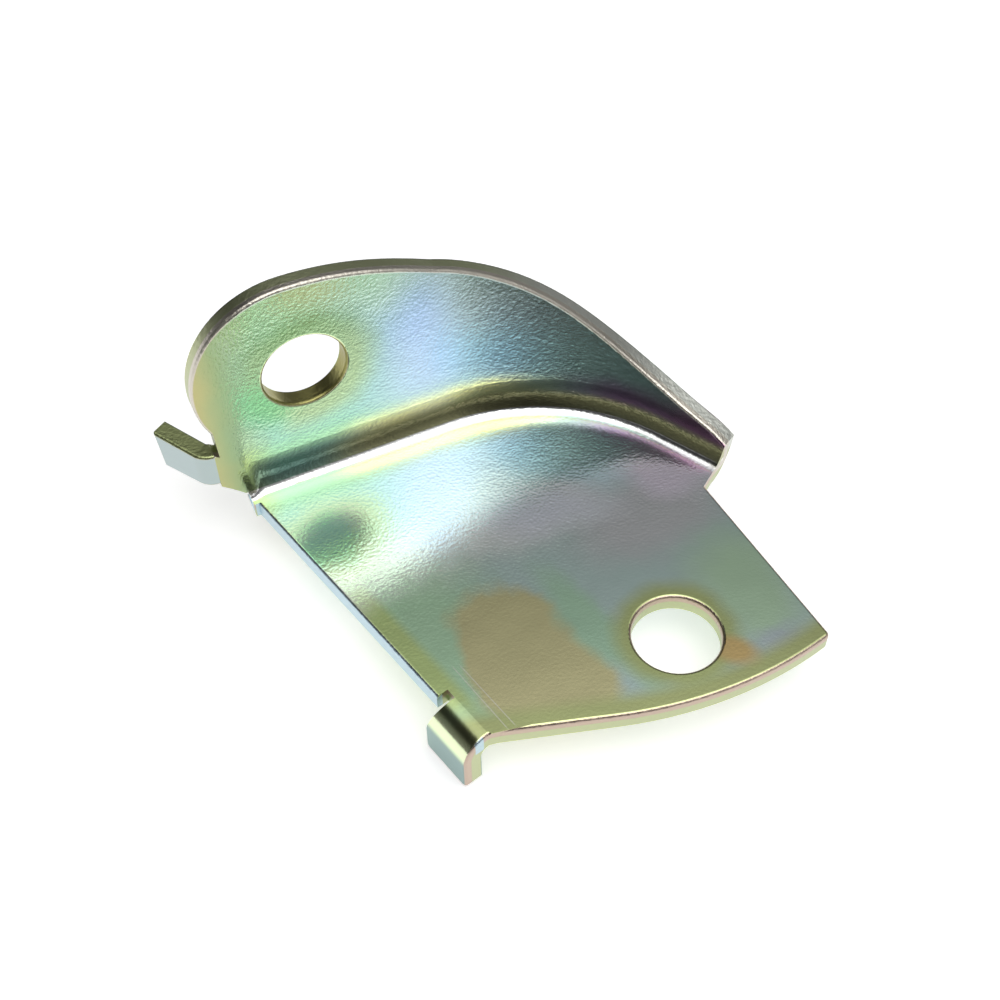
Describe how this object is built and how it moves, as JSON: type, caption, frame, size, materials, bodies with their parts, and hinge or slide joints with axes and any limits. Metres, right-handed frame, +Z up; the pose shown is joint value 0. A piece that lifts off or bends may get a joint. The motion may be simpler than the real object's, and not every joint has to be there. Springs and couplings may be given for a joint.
{
  "type": "stamped metal bracket",
  "caption": "Stamped and folded sheet steel bracket: a base plate with a screw hole and an upright flange, curved in plan, with a second hole",
  "frame": {"origin": "axis of the base bore, on the underside of the base plate", "axes": "+Z up, square to the base plate; +X along the straight stretch of the flange; +Y from the base bore back to the flange"},
  "size_m": [0.0571, 0.0513, 0.0323],
  "materials": {
    "plated_steel": "bright zinc plate with an iridescent yellow chromate"
  },
  "bodies": {
    "root": {"bracket": "plated_steel"}
  },
  "joints": []
}
